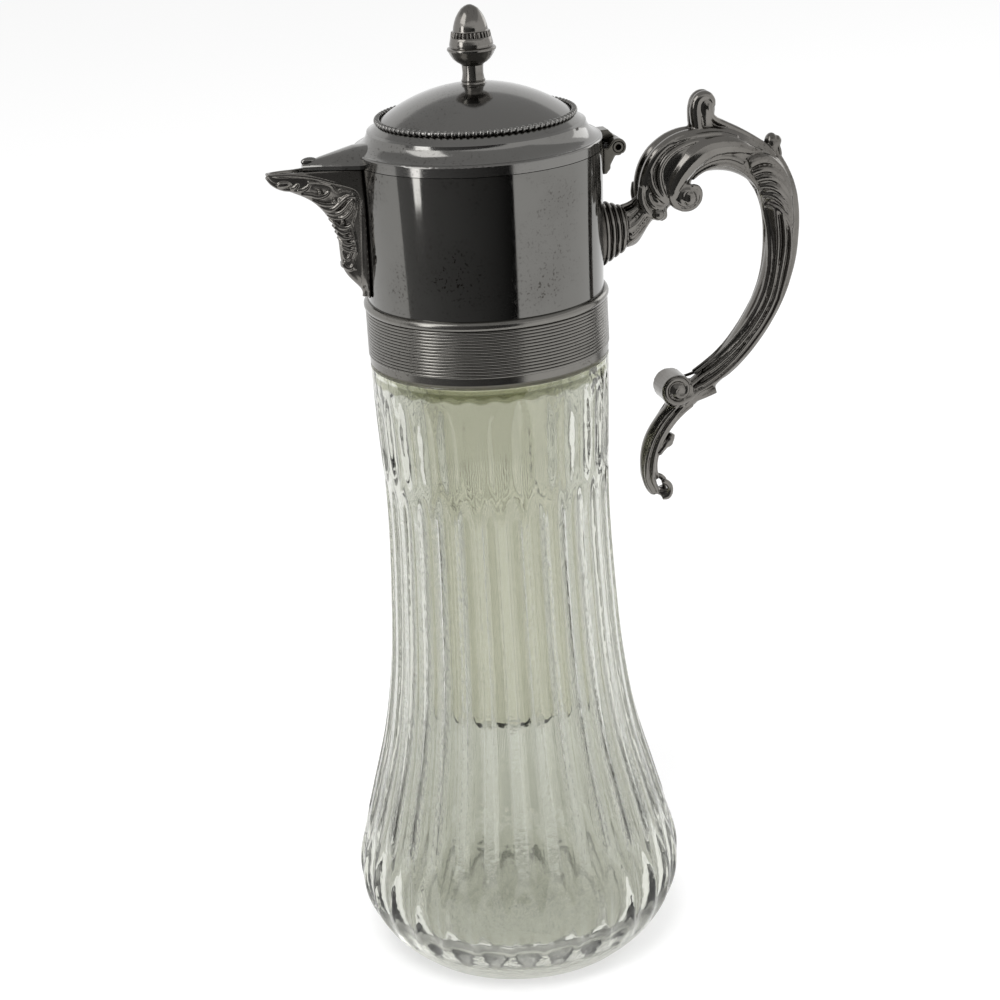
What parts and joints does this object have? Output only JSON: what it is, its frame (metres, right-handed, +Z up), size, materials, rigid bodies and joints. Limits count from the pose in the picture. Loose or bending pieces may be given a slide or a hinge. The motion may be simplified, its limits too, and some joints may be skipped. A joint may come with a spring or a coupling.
{
  "type": "water pitcher",
  "caption": "Silver plated water pitcher with a fluted glass body, a hinged domed lid with an acorn finial, a cast scroll handle, a beaked spout and a hanging ice tube.",
  "frame": {"origin": "centre of the glass foot's underside, on the table", "axes": "+Z up, -X towards the spout, +X towards the handle, even about the XZ plane"},
  "size_m": [0.173, 0.109, 0.3181],
  "materials": {
    "glass": "clear pressed glass with a pale grey green cast",
    "cement": "set plaster cement",
    "band_plate": "silver plate, polished, lightly tarnished",
    "collar_plate": "silver plate, polished, lightly tarnished",
    "cast_plate": "silver plated casting, dark in its recesses",
    "lid_plate": "silver plate, polished, lightly tarnished",
    "finial_plate": "silver plate, polished, lightly tarnished",
    "hinge_plate": "silver plate, tarnished",
    "steel": "plain steel, inside the mount",
    "tube_plastic": "clear plastic, yellowed"
  },
  "bodies": {
    "pitcher": {"glass_body": "glass", "neck_cement": "cement", "reeded_band": "band_plate", "collar_shell": "collar_plate", "spout_casting": "cast_plate", "handle_socket": "cast_plate", "handle_arm": "cast_plate", "handle_screw": "steel", "handle_washer": "steel", "hinge_bracket": "hinge_plate", "hinge_pin": "hinge_plate"},
    "lid": {"lid_shell": "lid_plate", "bead_wire": "lid_plate", "beak_stud": "lid_plate", "lid_hinge_leaf": "hinge_plate", "finial_stem": "finial_plate", "finial_acorn": "finial_plate", "finial_washer": "steel", "finial_nut": "steel", "finial_rod": "steel"},
    "tube": {"ice_tube": "tube_plastic"}
  },
  "joints": [
    {"name": "lid_hinge", "type": "hinge", "parent": "pitcher", "child": "lid", "pos_m": [0.0435, 0, 0.2707], "axis": [0, 1, 0], "range_deg": [0, 100]},
    {"name": "ice_tube_lift", "type": "slide", "parent": "pitcher", "child": "tube", "axis": [0, 0, 1], "range_m": [0, 0.05]}
  ]
}
